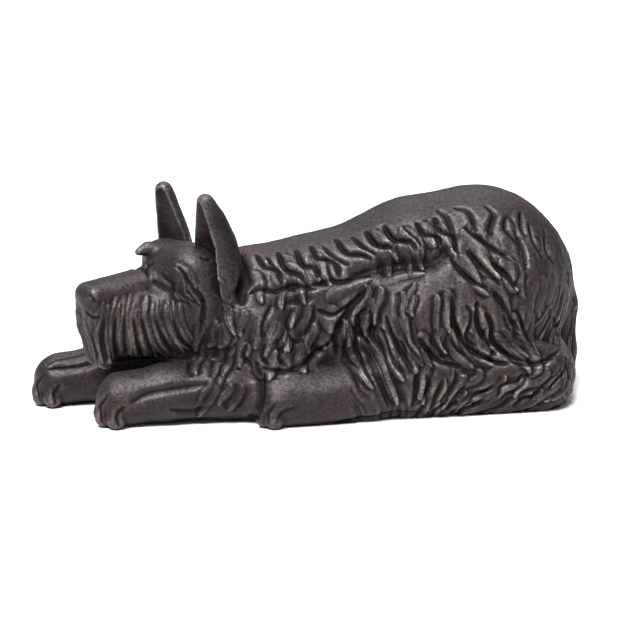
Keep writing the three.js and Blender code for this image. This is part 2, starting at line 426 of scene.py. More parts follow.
# ---------------------------------------------------------------- hair and cut lines
def mix_line(line, u):
    """The point a part u of the way along a list of points, by count."""
    place = u * (len(line) - 1)
    i = min(int(place), len(line) - 2)
    return np.array(line[i]) + (np.array(line[i + 1]) - line[i]) * (place - i)


def smooth_path(points, count):
    """count points of a Catmull-Rom curve through the given ones."""
    line = np.array(points, float)
    line = np.concatenate([[2 * line[0] - line[1]], line, [2 * line[-1] - line[-2]]])
    result = []
    for u in np.linspace(0, len(points) - 1 - 1e-6, count):
        i, t = int(u), u - int(u)
        p0, p1, p2, p3 = line[i : i + 4]
        bend = 2 * p0 - 5 * p1 + 4 * p2 - p3
        twist = -p0 + 3 * p1 - 3 * p2 + p3
        result.append(0.5 * (2 * p1 + (p2 - p0) * t + bend * t * t + twist * t**3))
    return np.array(result)


def swell(t, rise, fall):
    """0 at both ends and 1 between, rising over the first part and falling over the last."""
    up = np.clip(t / rise, 0, 1)
    down = np.clip((1 - t) / fall, 0, 1)
    return np.sqrt(up * (2 - up)) * np.sqrt(down * (2 - down))


# How the hair lies on the dog's left side: (x, z, degrees), where 0 points to the tail and 90 points up.
FLOW = [
    (-34, 80, -62), (-16, 80, -62), (0, 82, -56), (18, 86, -46), (34, 92, -48), (50, 95, -54),
    (63, 98, -62), (76, 102, -66), (92, 102, -70), (110, 98, -74), (122, 88, -80), (132, 74, -86),
    (138, 60, -92), (70, 84, -66), (80, 82, -48), (90, 82, -44), (92, 68, -58), (104, 70, -74),
    (114, 70, -88), (-38, 58, -100), (-22, 52, -114), (-8, 50, -104), (2, 46, -84), (-34, 36, -96),
    (-20, 36, -108), (-6, 38, -88), (-52, 52, -76), (-56, 42, -104), (-46, 26, -118), (-58, 18, -122),
    (24, 66, -118), (38, 68, -98), (52, 70, -112), (62, 70, -100), (14, 46, -84), (24, 54, -94),
    (34, 50, -76), (50, 50, -80), (66, 50, -80), (80, 50, -76), (96, 54, -58), (108, 56, -84),
    (118, 50, -96), (28, 38, -62), (42, 34, -52), (56, 34, -44), (70, 34, -40), (86, 33, -38),
    (100, 34, -36), (112, 36, -60), (48, 26, -96), (62, 24, -112), (78, 22, -138), (96, 20, -146),
    (114, 20, -142), (128, 22, -128), (52, 10, -104), (66, 8, -122), (84, 8, -146), (104, 8, -148),
    (124, 8, -136), (14, 26, -62), (26, 18, -58), (36, 10, -74), (128, 48, -106), (136, 34, -94),
    (138, 14, -84),
]


LOCK_SPACING = 31.7  # keeps the fine lines of one lock from matching those of the next


def within_outline(spot, corners):
    """Whether a point lies inside a closed outline."""
    x, z = spot
    inside = False
    for (x0, z0), (x1, z1) in zip(corners, corners[1:] + corners[:1]):
        if (z0 > z) != (z1 > z) and x < x0 + (x1 - x0) * (z - z0) / (z1 - z0):
            inside = not inside
    return inside


def outline_area(corners):
    pairs = zip(corners, corners[1:] + corners[:1])
    return abs(sum(x0 * z1 - x1 * z0 for (x0, z0), (x1, z1) in pairs)) / 2


class Coat:
    """Hair laid over a surface. Strokes are drawn in a plane and cast on to the surface from outside."""

    CAST = {  # where a drawing plane's point starts from, and the way it goes
        "left": (lambda a, b: (a, -200, b), (0, 1, 0)),
        "rear": (lambda a, b: (200, a, b), (-1, 0, 0)),
        "front": (lambda a, b: (-200, a, b), (1, 0, 0)),
    }
    STEPS = 12  # points along a stroke
    FOLLOW = 5  # steps that a strewn stroke takes along the flow
    TRIES = 9  # places tried for each strewn stroke, the one with most room being kept

    def __init__(self, vertices, normals, quads):
        self.vertices = vertices.astype(np.float64)
        self.normals = normals
        self.order = np.argsort(self.vertices[:, 0])
        self.sorted_x = self.vertices[self.order, 0]
        self.tree = BVHTree.FromPolygons(vertices.tolist(), quads.tolist())
        self.raised = np.zeros(len(vertices))
        self.lowered = np.zeros(len(vertices))
        self.carved = np.zeros(len(vertices))
        self.strand = np.zeros(len(vertices))  # how far across its lock a vertex lies, and which lock
        self.locks = 0
        self.random = np.random.default_rng(7)
        table = np.array(FLOW, float)
        self.guides = table[:, :2]
        self.ways = np.stack([np.cos(np.radians(table[:, 2])), np.sin(np.radians(table[:, 2]))], 1)

    def cast(self, view, flat):
        start, way = self.CAST[view]
        depth = 195.0
        path = []
        for a, b in flat[::-1]:  # from the tip back to the root
            origin = Vector(start(a, b))
            spot, _, _, distance = self.tree.ray_cast(origin, Vector(way))
            if spot is None:
                spot = self.tree.find_nearest(origin + Vector(way) * depth)[0]
            else:
                depth = distance
            path.append(spot)
        return np.array(path[::-1])

    def mirrored(self, path, part):
        """The path's image on the dog's right side, put back on the surface."""
        if part == "head":
            path = from_head(flipped(to_head(path), -1))
        else:
            path = flipped(path, -1)
        if part == "paw":
            path = path + (PAW_X[RIGHT] - PAW_X[LEFT], 0, 0)
        return np.array([self.tree.find_nearest(Vector(p))[0] for p in path])

    def measure(self, path, reach):
        """The vertices within reach of a path: which, how far along it, and how far to its side."""
        low, high = path.min(0) - reach, path.max(0) + reach
        first, last = np.searchsorted(self.sorted_x, (low[0], high[0]))
        which = self.order[first:last]
        spots = self.vertices[which]
        near = np.all((spots[:, 1:] > low[1:]) & (spots[:, 1:] < high[1:]), axis=1)
        which, spots = which[near], spots[near]
        if not len(which):
            return which, None, None
        starts, steps = path[:-1], np.diff(path, axis=0)
        squares = (steps**2).sum(1) + 1e-9
        offset = spots[:, None, :] - starts[None]
        part = np.clip((offset * steps).sum(2) / squares, 0, 1)
        gap = offset - part[..., None] * steps
        distance = np.linalg.norm(gap, axis=2)
        best = distance.argmin(1)
        rows = np.arange(len(which))
        lengths = np.sqrt(squares)
        run = np.concatenate([[0], np.cumsum(lengths)])
        along = (run[best] + part[rows, best] * lengths[best]) / run[-1]
        sideways = np.cross(self.normals[which], steps[best])
        sign = np.sign((gap[rows, best] * sideways).sum(1))
        apart = distance[rows, best]
        near = apart < reach
        return which[near], along[near], (sign * apart)[near]

    def lock(self, path, width, height, hand=1, lean=0.3, point=0.45):
        """A raised lock that stands up towards its tip and ends in a point. Its crest leans to one side."""
        which, t, s = self.measure(path, width)
        if not len(which):
            return
        half = 0.5 * width * swell(t, 0.2, point) + 1e-3
        u = hand * s / half
        crest = u - lean * (1 - np.clip(u * u, 0, 1))
        dome = np.clip(1 - crest * crest, 0, 1) ** 0.7 * (np.abs(u) < 1)
        stand = 0.5 + 0.5 * np.clip(t / 0.7, 0, 1)
        rise = height * stand * dome
        self.locks += 1
        uppermost = rise > self.raised[which]
        self.strand[which[uppermost]] = s[uppermost] + LOCK_SPACING * self.locks
        self.raised[which] = np.maximum(self.raised[which], rise)
        around = np.clip(1.7 - np.abs(s) / (0.5 * width), 0, 1) * swell(t, 0.5, 0.3)
        self.lowered[which] = np.maximum(self.lowered[which], 0.6 * height * around)

    def groove(self, path, width, depth, hand=1, lip=0.12):
        """A cut that tapers at both ends, with a soft lip along one side of it."""
        which, t, s = self.measure(path, 2.2 * width)
        if not len(which):
            return
        ends = swell(t, 0.4, 0.45)
        aside = hand * s / (0.5 * width * (0.4 + 0.6 * ends))
        self.carved[which] = np.maximum(self.carved[which], depth * ends * np.exp(-(aside**2)))
        edge = lip * depth * ends * np.exp(-(((aside + 2.4) / 1.2) ** 2))
        self.raised[which] = np.maximum(self.raised[which], edge)

    def stroke(self, kind, view, flat, width, height, mirror="body", **shape):
        """One stroke on the left or the middle, and its image on the right."""
        path = self.cast(view, smooth_path(flat, self.STEPS))
        kind(self, path, width, height, **shape)
        if mirror:
            kind(self, self.mirrored(path, mirror), width, height, hand=-1, **shape)

    def row(self, kind, view, roots, tips, count, width, height, bow=0.0, sway=0.0, loose=0.11, **more):
        """Strokes side by side. bow bends each one to a C and sway to an S, as parts of its length."""
        for n in range(count):
            u = min(max((n + self.random.normal(0, 0.15)) / max(count - 1, 1), 0), 1)
            a, b = mix_line(roots, u), mix_line(tips, u)
            run = b - a
            aside = np.array([-run[1], run[0]])
            jitter = self.random.normal(0, loose, 4)
            a = a + run * jitter[0]
            b = b + run * jitter[1]
            near = a + run * 0.33 + aside * (bow + sway + jitter[2] * 0.4)
            far = a + run * 0.67 + aside * (bow - sway + jitter[2] * 0.4)
            size = 1 + 1.5 * jitter[3]
            self.stroke(kind, view, [a, near, far, b], width * size, height * size, **more)

    def flow(self, spot):
        """The way the hair lies at a place on the side."""
        weight = (((self.guides - spot) ** 2).sum(1) + 9) ** -2.0
        way = weight @ self.ways
        return way / np.linalg.norm(way)

    def follow(self, root, length, wave, curl):
        """A path that runs with the flow from its root. wave swings it like an S, and curl like a C."""
        path = [root]
        for k in range(self.FOLLOW):
            part = (k + 0.5) / self.FOLLOW
            swing = wave * math.cos(2 * math.pi * part) + curl * (2 * part - 1)
            way = self.flow(path[-1])
            across = np.array([-way[1], way[0]])
            swung = way * math.cos(swing) + across * math.sin(swing)
            path.append(path[-1] + swung * length / self.FOLLOW)
        return path

    def strew(self, kind, outline, length, width, height, crowd=1.4, wave=0.35, curl=0.2, loose=0.2,
              **more):
        """Strokes with their roots strewn evenly inside an outline, each one lying with the flow."""
        low, high = np.min(outline, 0), np.max(outline, 0)
        roots = []
        for _ in range(round(crowd * outline_area(outline) / (length * width))):
            best, most = None, -1.0
            for spot in self.random.uniform(low, high, (self.TRIES, 2)):
                if not within_outline(spot, outline):
                    continue
                way = self.flow(spot)
                offset = np.array(roots).reshape(-1, 2) - spot
                along = offset @ way / length
                aside = (offset @ np.array([-way[1], way[0]])) / width
                room = np.hypot(along, aside).min() if roots else 9.0
                if room > most:
                    best, most = spot, room
            if best is None:
                continue
            roots.append(best)
            longer, bigger, bent, curled = self.random.normal(0, 1, 4)
            path = self.follow(best, length * (1 + loose * longer), wave + 0.2 * bent, curl * curled)
            size = max(1 + loose * bigger, 0.5)
            self.stroke(kind, "left", path, width * size, height * size, **more)

    def lock_all(self, width, height, paths, **more):
        for path in paths:
            self.stroke(Coat.lock, "left", path, width, height, **more)

    def cut_all(self, width, depth, paths, **more):
        for path in paths:
            self.stroke(Coat.groove, "left", path, width, depth, **more)


LOCK, GROOVE = Coat.lock, Coat.groove


def dress_back(coat):
    """The locks that fall from the back, the deep cuts between them, and the fold under them."""
    band = [(-36, 79), (-12, 84), (18, 90), (40, 96), (62, 101), (69, 95), (48, 88), (30, 84), (10, 78),
            (-12, 74), (-34, 72)]
    coat.strew(LOCK, band, 18, 7.4, 2.3, crowd=1.8, wave=0.5, point=0.6)
    coat.cut_all(2.9, 2.6, [
        [(-28, 83), (-25, 78), (-19, 76), (-17, 68)], [(-17, 84), (-15, 77), (-8, 74), (-5, 67)],
        [(-8, 85), (-6, 79), (0, 77), (1, 69)], [(0, 87), (2, 82), (10, 80), (12, 71)],
        [(13, 90), (17, 84), (26, 83), (33, 77)], [(28, 94), (32, 88), (39, 87), (42, 80)],
        [(37, 97), (41, 91), (49, 90), (51, 82)], [(53, 99), (56, 94), (63, 92), (62, 85)],
        [(63, 101), (65, 95), (71, 92), (70, 84)],
    ])
    coat.cut_all(1.9, 1.6, [
        [(-23, 82), (-20, 77), (-14, 74)], [(6, 87), (10, 82), (18, 78)],
        [(21, 91), (25, 87), (32, 83)], [(46, 97), (51, 92), (55, 87)],
    ])
    coat.cut_all(3.6, 2.8, [
        [(-38, 66), (-30, 68.5), (-20, 67)], [(-24, 66), (-12, 69), (0, 67.5)],
        [(-5, 68.5), (6, 71), (18, 70.5)], [(10, 69), (20, 73), (34, 79)],
    ])
    coat.cut_all(9.0, 5.2, [[(16, 73), (32, 78), (46, 80), (59, 81), (68, 88)]])
    coat.lock_all(8.5, 1.6, [
        [(-46, 62), (-34, 64.5), (-20, 63.5), (-8, 65)], [(4, 62), (16, 68), (28, 72)],
        [(32, 69), (43, 74), (54, 75)],
    ], point=0.8)


def dress_rump(coat):
    """Shallow waves over the rump, and the pointed tufts of the hip with slits between them."""
    rump = [(70, 100), (90, 103), (112, 100), (125, 93), (132, 82), (126, 78), (112, 84), (96, 93),
            (78, 97)]
    coat.strew(LOCK, rump, 26, 7.0, 0.8, crowd=1.2, wave=0.6, point=0.8)
    coat.strew(GROOVE, rump, 22, 2.4, 0.9, crowd=0.4, wave=0.6)
    coat.cut_all(3.0, 1.7, [
        [(65.5, 104), (69.5, 100.5), (71, 93.5)], [(74, 105), (81, 103), (83, 94)],
        [(90, 106), (94, 102), (90, 95), (91, 88)], [(101, 101), (98.5, 95.5), (104, 88), (104, 79)],
        [(110, 102), (108, 95), (110, 90)], [(113, 97), (114, 88), (118, 79)],
        [(122, 88), (122, 82), (125, 76)],
    ], lip=0.35)
    hip = [(66, 95), (84, 96), (100, 90), (108, 82), (98, 72), (78, 74), (69, 82)]
    coat.strew(LOCK, hip, 22, 8.0, 2.3, crowd=1.7, wave=0.5, point=0.7)
    coat.cut_all(2.8, 2.8, [
        [(77, 96), (84, 91), (91, 86), (99, 80)], [(67, 83), (72, 76), (78, 71), (85, 67)],
        [(77, 86), (82, 79), (88, 73), (92, 68)], [(88, 80), (95, 74), (100, 65)],
        [(104, 92), (107, 84), (106, 75)],
    ])
    side = [(100, 84), (128, 80), (130, 60), (104, 60)]
    coat.strew(LOCK, side, 26, 7.5, 1.2, crowd=1.3, wave=0.5, point=0.8)
    coat.row(LOCK, "rear", [(-24, 92), (0, 95), (24, 92)], [(-27, 66), (0, 68), (27, 66)], 8, 7, 1.1,
             sway=0.12, mirror=None)
    coat.row(LOCK, "rear", [(-26, 74), (0, 76), (26, 74)], [(-28, 46), (0, 48), (28, 46)], 8, 7, 1.3,
             sway=-0.1, mirror=None)


def dress_thigh(coat):
    """The top-lit tufts of the thigh, its hanging locks and the long slits between them."""
    crown = [(22, 70), (40, 74), (62, 78), (70, 71), (60, 65), (40, 62), (24, 60)]
    coat.strew(LOCK, crown, 19, 6.6, 2.8, crowd=1.9, wave=0.3, curl=0.35, point=0.6)
    thigh = [(10, 54), (30, 58), (60, 60), (90, 60), (106, 58), (110, 48), (98, 42), (70, 40), (40, 40),
             (18, 42)]
    coat.strew(LOCK, thigh, 27, 7.0, 2.3, crowd=2.0, wave=0.35, point=0.6)
    coat.strew(GROOVE, thigh, 20, 2.0, 1.7, crowd=0.4, wave=0.3)
    coat.cut_all(2.8, 3.0, [
        [(32, 55), (34, 46), (38, 38), (45, 28)], [(66, 65), (66, 55), (69, 46), (75, 37)],
        [(79, 62), (79, 53), (82, 44), (88, 37)], [(88, 66), (94, 57), (99, 49), (104, 43)],
        [(87, 40), (96, 33), (104, 29), (112, 27)], [(72, 40), (81, 33), (90, 29), (98, 28)],
        [(48, 44), (54, 36), (61, 31), (71, 28)], [(19, 50), (22, 43), (26, 38)],
    ])
    coat.cut_all(3.6, 2.8, [[(25, 68), (15, 55), (9, 45), (10, 32)]])
    coat.lock_all(5.5, 2.8, [[(23, 64), (24, 54), (21, 44)], [(13, 52), (14, 43), (16, 36)]])


def dress_haunch(coat):
    """The long locks along the floor, the fine hair in front of them, and the tail."""
    floor = [(46, 28), (72, 27), (104, 25), (134, 28), (137, 12), (110, 8), (80, 7), (58, 5), (46, 8)]
    coat.strew(LOCK, floor, 26, 6.2, 2.4, crowd=2.0, wave=0.4, point=0.6)
    coat.strew(GROOVE, floor, 20, 2.2, 2.0, crowd=0.5, wave=0.35)
    coat.strew(GROOVE, [(7, 30), (24, 30), (44, 16), (42, 6), (12, 7)], 19, 2.2, 0.8, crowd=0.8, wave=0.2)
    coat.cut_all(2.6, 2.4, [[(96, 30), (106, 27), (116, 28), (126, 32)]])
    coat.strew(LOCK, [(124, 74), (140, 72), (140, 56), (126, 56)], 24, 4.4, 1.9, crowd=2.2, wave=0.15)
    coat.lock_all(2.8, 1.8, [
        [(131, 66), (127, 54), (121, 44), (114, 35)], [(134, 62), (130, 49), (124, 39), (118, 31)],
        [(127, 70), (122, 57), (116, 48), (108, 42)],
    ])
    coat.cut_all(4.2, 3.2, [[(126, 48), (130, 35), (131, 16)]])
    coat.row(LOCK, "left", [(133, 52), (142, 54)], [(131, 6), (140, 8)], 3, 5, 2.2, sway=0.05)
    coat.row(LOCK, "rear", [(-14, 72), (8, 72)], [(-32, 6), (-2, 6)], 6, 6, 2.2, bow=0.06, loose=0.06,
             mirror=None)
    coat.row(LOCK, "rear", [(-46, 40), (-24, 42)], [(-50, 5), (-30, 4)], 5, 7, 2.2, bow=0.12)
    coat.row(LOCK, "rear", [(8, 46), (30, 46)], [(6, 6), (28, 5)], 4, 7, 2.2, bow=-0.1, mirror=None)


def dress_chest(coat):
    """Overlapping leaves of hair on the neck and shoulder, and the hair of the elbow."""
    shoulder = [(-50, 62), (8, 60), (8, 42), (-40, 38), (-54, 46)]
    coat.strew(LOCK, shoulder, 14, 9.4, 2.3, crowd=1.6, wave=0.15, curl=0.4, point=0.75)
    coat.cut_all(2.2, 2.0, [
        [(-24, 61), (-29, 54), (-31, 45)], [(-13, 58), (-16, 50), (-14, 43), (-8, 41)],
        [(-2, 60), (-3, 52), (-7, 44)], [(-2, 58), (6, 54), (13, 57), (20, 63)],
        [(-38, 43), (-40, 36), (-36, 30)], [(-29, 43), (-31, 36), (-27, 31)],
        [(-19, 42), (-22, 35), (-17, 30)],
    ])
    breast = [(-60, 38), (-38, 38), (-40, 18), (-60, 16)]
    coat.strew(LOCK, breast, 14, 5.4, 1.7, crowd=1.6, wave=0.3)
    throat = [(-60, 56), (-46, 60), (-44, 40), (-60, 38)]
    coat.strew(LOCK, throat, 11, 5.2, 1.6, crowd=1.6, wave=0.2, curl=0.6)
    coat.cut_all(5.0, 3.2, [[(-34, 34), (-32, 22), (-36, 2)]])
    coat.cut_all(3.0, 2.2, [[(-34, 31), (-20, 29), (-4, 33), (6, 40)]])
    coat.row(LOCK, "front", [(-18, 44), (18, 44)], [(-16, 22), (16, 22)], 5, 7, 1.8, mirror=None)


# The beard's strands, in four places from root to tip, from the nose to the cheek.
BEARD = [
    [(-109, 64.5), (-97, 67), (-84, 67.5), (-70, 64)],
    [(-112, 56), (-100, 56.5), (-87, 55), (-69, 54)],
    [(-113, 46), (-101, 44), (-83, 42), (-65, 45)],
    [(-110, 31), (-99, 33), (-78, 34), (-58, 38)],
]
BEARD_STRANDS = 25
BEARD_CUTS = 7


def dress_beard(coat):
    for n in range(BEARD_STRANDS):
        u = n / (BEARD_STRANDS - 1)
        path = [mix_line(line, u) + coat.random.normal(0, 0.7, 2) for line in BEARD]
        path[0] = path[0] + (path[1] - path[0]) * coat.random.uniform(0, 0.6)
        size = 1 + coat.random.normal(0, 0.2)
        coat.stroke(LOCK, "left", path, 3.3 * size, 1.25 * size, mirror="head", point=0.5)
    for n in range(BEARD_CUTS):
        u = (n + 0.5) / BEARD_CUTS + coat.random.normal(0, 0.04)
        path = [mix_line(line, min(max(u, 0), 1)) for line in BEARD]
        coat.stroke(GROOVE, "left", path[1:], 2.0, 1.8, mirror="head")
    coat.row(LOCK, "front", [(-22, 56), (-6, 58)], [(-22, 34), (-8, 32)], 6, 3.4, 1.3, mirror=None)


def dress_head(coat):
    """Nose and mouth, the corner of the eye, the hanging eyebrow, and the edge of the cheek."""
    head = {"mirror": "head"}
    coat.cut_all(1.6, 1.0, [[(-115.5, 67.5), (-113.5, 66), (-112, 63)]], **head)
    coat.cut_all(2.0, 1.2, [[(-117, 59), (-114, 56), (-110, 57)]], **head)
    coat.cut_all(2.2, 1.6, [[(-86, 81), (-85, 77), (-84, 73)]], **head)
    coat.cut_all(2.2, 1.0, [[(-82, 72), (-77, 69), (-71, 67)]], **head)
    coat.row(LOCK, "left", [(-77, 77), (-69, 80)], [(-68, 61), (-58, 62)], 6, 3.6, 1.3, sway=0.08,
             loose=0.07, **head)
    coat.cut_all(2.4, 1.7, [[(-70, 80), (-64, 70), (-58, 61), (-60, 45)]], **head)
    coat.cut_all(1.4, 0.9, [[(-59, 85), (-56, 83), (-53, 83)]], **head)
    coat.lock_all(3.2, 0.7, [[(-57, 66), (-54, 67), (-50, 64)], [(-55, 74), (-52, 75), (-48, 72)]], **head)


def dress_ears(coat):
    """The gap between each ear and the neck."""
    coat.cut_all(7.0, 4.2, [[(-38, 88), (-36, 77), (-40, 61)]], lip=0, mirror="head")


def dress_paws(coat):
    """Tendons, the gaps between the toes, and the nails' hollows."""
    paw = {"mirror": "paw"}
    coat.cut_all(4.0, 1.6, [[(-98, 14), (-87, 19), (-72, 21), (-58, 22)]], **paw)
    coat.cut_all(3.2, 1.4, [[(-78, 10), (-66, 8), (-56, 11)]], **paw)
    coat.cut_all(2.0, 1.3, [[(-108, 18), (-112, 11), (-111, 3)], [(-100, 13), (-104, 8), (-103, 2)]], **paw)
    coat.cut_all(2.0, 1.3, [[(-136, 19), (-140, 12), (-139, 4)], [(-128, 14), (-131, 9), (-131, 2)]],
                 mirror=None)
    coat.cut_all(2.2, 1.0, [[(-16, 12), (-23, 9), (-26, 4)], [(-26, 14), (-30, 9), (-30, 3)]])


UNEVEN = 0.2  # the height of the casting's slow unevenness, in millimetres
FINE_ROUNDS, FINE_HEIGHT = 4, 0.35  # what a lock or a cut stands above or below its close surroundings
BROAD_ROUNDS, BROAD_HEIGHT = 40, 1.4  # and what a form does against its wider ones
COMBED_HEIGHT = 0.9


def dressed(vertices, quads, edges):
    """The figure's surface with its coat: new vertices, and what the patina, its painted shade and its
    painted light are painted from.
    """
    normals = smoothed(vertex_normals(vertices, quads), edges, 3)
    normals /= np.linalg.norm(normals, axis=1)[:, None]
    coat = Coat(vertices, normals, quads)
    for dress in (dress_back, dress_rump, dress_thigh, dress_haunch, dress_chest, dress_beard, dress_head,
                  dress_ears, dress_paws):
        dress(coat)
    places = [Vector(v) for v in vertices]
    uneven = np.array([noise.noise(v * 0.16) + 0.5 * noise.noise(v * 0.5) for v in places])
    height = smoothed(coat.raised - coat.lowered - coat.carved, edges, 2) + UNEVEN * uneven
    final = vertices + normals * height[:, None]
    fine = ((final - smoothed(final, edges, FINE_ROUNDS)) * normals).sum(1)
    broad = ((final - smoothed(final, edges, BROAD_ROUNDS)) * normals).sum(1)
    relief = {
        "hollow": np.clip(fine / FINE_HEIGHT, -1, 1),
        "rise": np.clip(broad / BROAD_HEIGHT, -1, 1),
        "strand": coat.strand,
        "combed": np.clip(smoothed(coat.raised, edges, 3) / COMBED_HEIGHT - 0.15, 0, 1),
    }
    return final, relief


# ---------------------------------------------------------------- Blender objects
def to_part(points):
    """From sculpting millimetres to the part's frame in metres."""
    return (np.asarray(points, float) + (SHIFT_X, 0, 0)) * MM


def new_object(name, points, faces, smooth=True):
    mesh = bpy.data.meshes.new(name)
    mesh.from_pydata(to_part(points).tolist(), [], faces.tolist() if hasattr(faces, "tolist") else faces)
    mesh.validate()
    if smooth:
        mesh.shade_smooth()
    obj = bpy.data.objects.new(name, mesh)
    bpy.context.scene.collection.objects.link(obj)
    return obj


def lathe_rings(profile, sides):
    """Points and faces of a closed form turned about Y, from (radius, y) pairs that start and end at 0."""
    points = [(0, profile[0][1], 0)]
    for radius, y in profile[1:-1]:
        for i in range(sides):
            angle = 2 * math.pi * i / sides
            points.append((radius * math.cos(angle), y, radius * math.sin(angle)))
    points.append((0, profile[-1][1], 0))
    rings = len(profile) - 2
    faces = []
    for i in range(sides):
        j = (i + 1) % sides
        faces.append((0, 1 + i, 1 + j))
        for ring in range(rings - 1):
            base = 1 + ring * sides
            faces.append((base + i, base + sides + i, base + sides + j, base + j))
        last = 1 + (rings - 1) * sides
        faces.append((last + i, len(points) - 1, last + j))
    return points, faces


def turned(name, profile, at, sides=48, smooth=True):
    """A turned object about Y through at, its faces pointing out."""
    points, faces = lathe_rings(profile, sides)
    obj = new_object(name, np.array(points) + at, faces, smooth)
    obj.data.flip_normals()
    return obj


def box_object(name, low, high):
    corners = [(x, y, z) for x in (low[0], high[0]) for y in (low[1], high[1]) for z in (low[2], high[2])]
    faces = [(0, 1, 3, 2), (4, 6, 7, 5), (0, 4, 5, 1), (2, 3, 7, 6), (0, 2, 6, 4), (1, 5, 7, 3)]
    return new_object(name, corners, faces, smooth=False)


def applied(obj, cutter, operation):
    """Joins or cuts obj with cutter, and leaves the result in its mesh."""
    step = obj.modifiers.new("cut", "BOOLEAN")
    step.object = cutter
    step.operation = operation
    step.solver = "MANIFOLD"
    result = bpy.data.meshes.new_from_object(obj.evaluated_get(bpy.context.evaluated_depsgraph_get()))
    obj.modifiers.clear()
    old = obj.data
    obj.data = result
    bpy.data.meshes.remove(old)


def discard(obj):
    mesh = obj.data
    bpy.data.objects.remove(obj)
    bpy.data.meshes.remove(mesh)


GRID_LOW = (-147.0, -62.0, -4.0)
GRID_HIGH = (154.0, 62.0, 121.0)
CORE_LOW = (-150, -62, -8)  # past the skin's grid, so that the hollow is open at the floor
SKIN_STEP = 0.65
CORE_STEP = 1.8
SPACE = 300.0  # further than any part of the figure
SKIN_REACH = 1.2  # vertices further than this from the skin were made by a cut
CUT_RELIEF = -0.3  # the relief given to those

# Sizes of the screws and pins in millimetres: radii, unless they say otherwise.
SCREW = {"hole": 3.4, "counterbore": 6.0, "head": 5.4, "head_height": 4.6, "tip_gap": 2.0}
THREAD = {"crest": 3.1, "root": 2.55, "pitch": 1.27, "bare_length": 8.0}
SLOT = {"half_width": 0.7, "depth": 2.2, "half_length": 7.0}
CROWN_HEIGHT, CROWN_STEPS = 1.3, 6
PIN = {"hole": 2.8, "body": 2.5, "chamfer": 0.6}


def screw_hole_cutter(name):
    low, high = cad_box_mm(name)
    seat = high[1] - SCREW["head_height"] - 2 * HALF_GAP
    tip = low[1] - SCREW["tip_gap"]
    profile = [(0, tip), (SCREW["hole"], tip), (SCREW["hole"], seat), (SCREW["counterbore"], seat),
               (SCREW["counterbore"], SPACE), (0, SPACE)]
    return turned("hole", profile, axis_of(name), smooth=False)


def pin_hole_cutter(name):
    low, high = cad_box_mm(name)
    start, end = low[1] - 2 * HALF_GAP, high[1] + 2 * HALF_GAP
    profile = [(0, start), (PIN["hole"], start), (PIN["hole"], end), (0, end)]
    return turned("hole", profile, axis_of(name), smooth=False)


def paint_relief(obj, tree, relief):
    """Gives each vertex of a casting the relief of the sculpted surface that it came from."""
    mesh = obj.data
    spots = np.empty(len(mesh.vertices) * 3)
    mesh.vertices.foreach_get("co", spots)
    spots = spots.reshape(-1, 3) / MM - (SHIFT_X, 0, 0)
    found = [tree.find(Vector(p)) for p in spots]
    index = np.array([f[1] for f in found])
    skin = np.array([f[2] for f in found]) < SKIN_REACH
    for name, values in relief.items():
        layer = mesh.attributes.new(name, "FLOAT", "POINT")
        layer.data.foreach_set("value", np.where(skin, values[index], CUT_RELIEF).astype(np.float32))


def sculpted_skin():
    """The whole figure with its coat: vertices, quads and relief."""
    values = sample(figure_field, GRID_LOW, GRID_HIGH, SKIN_STEP)
    vertices, quads = surface_net(values, GRID_LOW, SKIN_STEP)
    edges = edges_of(quads)
    vertices = smoothed(vertices.astype(float), edges, 1)
    vertices, relief = dressed(vertices, quads, edges)
    return vertices, quads, relief


def hollow_core():
    """What is taken out of the figure: its hollow, and the holes of the screws and pins."""
    values = sample(core_field, CORE_LOW, GRID_HIGH, CORE_STEP)
    core = new_object("core", *surface_net(values, CORE_LOW, CORE_STEP))
    for hole in [screw_hole_cutter(n) for n in SCREWS] + [pin_hole_cutter(n) for n in PINS]:
        applied(core, hole, "UNION")
        discard(hole)
    return core


def make_castings():
    vertices, quads, relief = sculpted_skin()
    tree = KDTree(len(vertices))
    for i, v in enumerate(vertices):
        tree.insert(v, i)
    tree.balance()
    core = hollow_core()
    castings = []
    for name, side in (("left_casting", LEFT), ("right_casting", RIGHT)):
        obj = new_object(name + "_sculpted", vertices, quads)
        near, far = side * HALF_GAP, side * SPACE
        half = box_object("half", (-SPACE, min(near, far), 0), (SPACE, max(near, far), SPACE))
        applied(obj, half, "INTERSECT")
        applied(obj, core, "DIFFERENCE")
        discard(half)
        paint_relief(obj, tree, relief)
        obj.data.set_sharp_from_angle(angle=math.radians(60))
        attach(obj, "root")
        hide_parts(name)
        castings.append(obj)
    discard(core)
    return castings


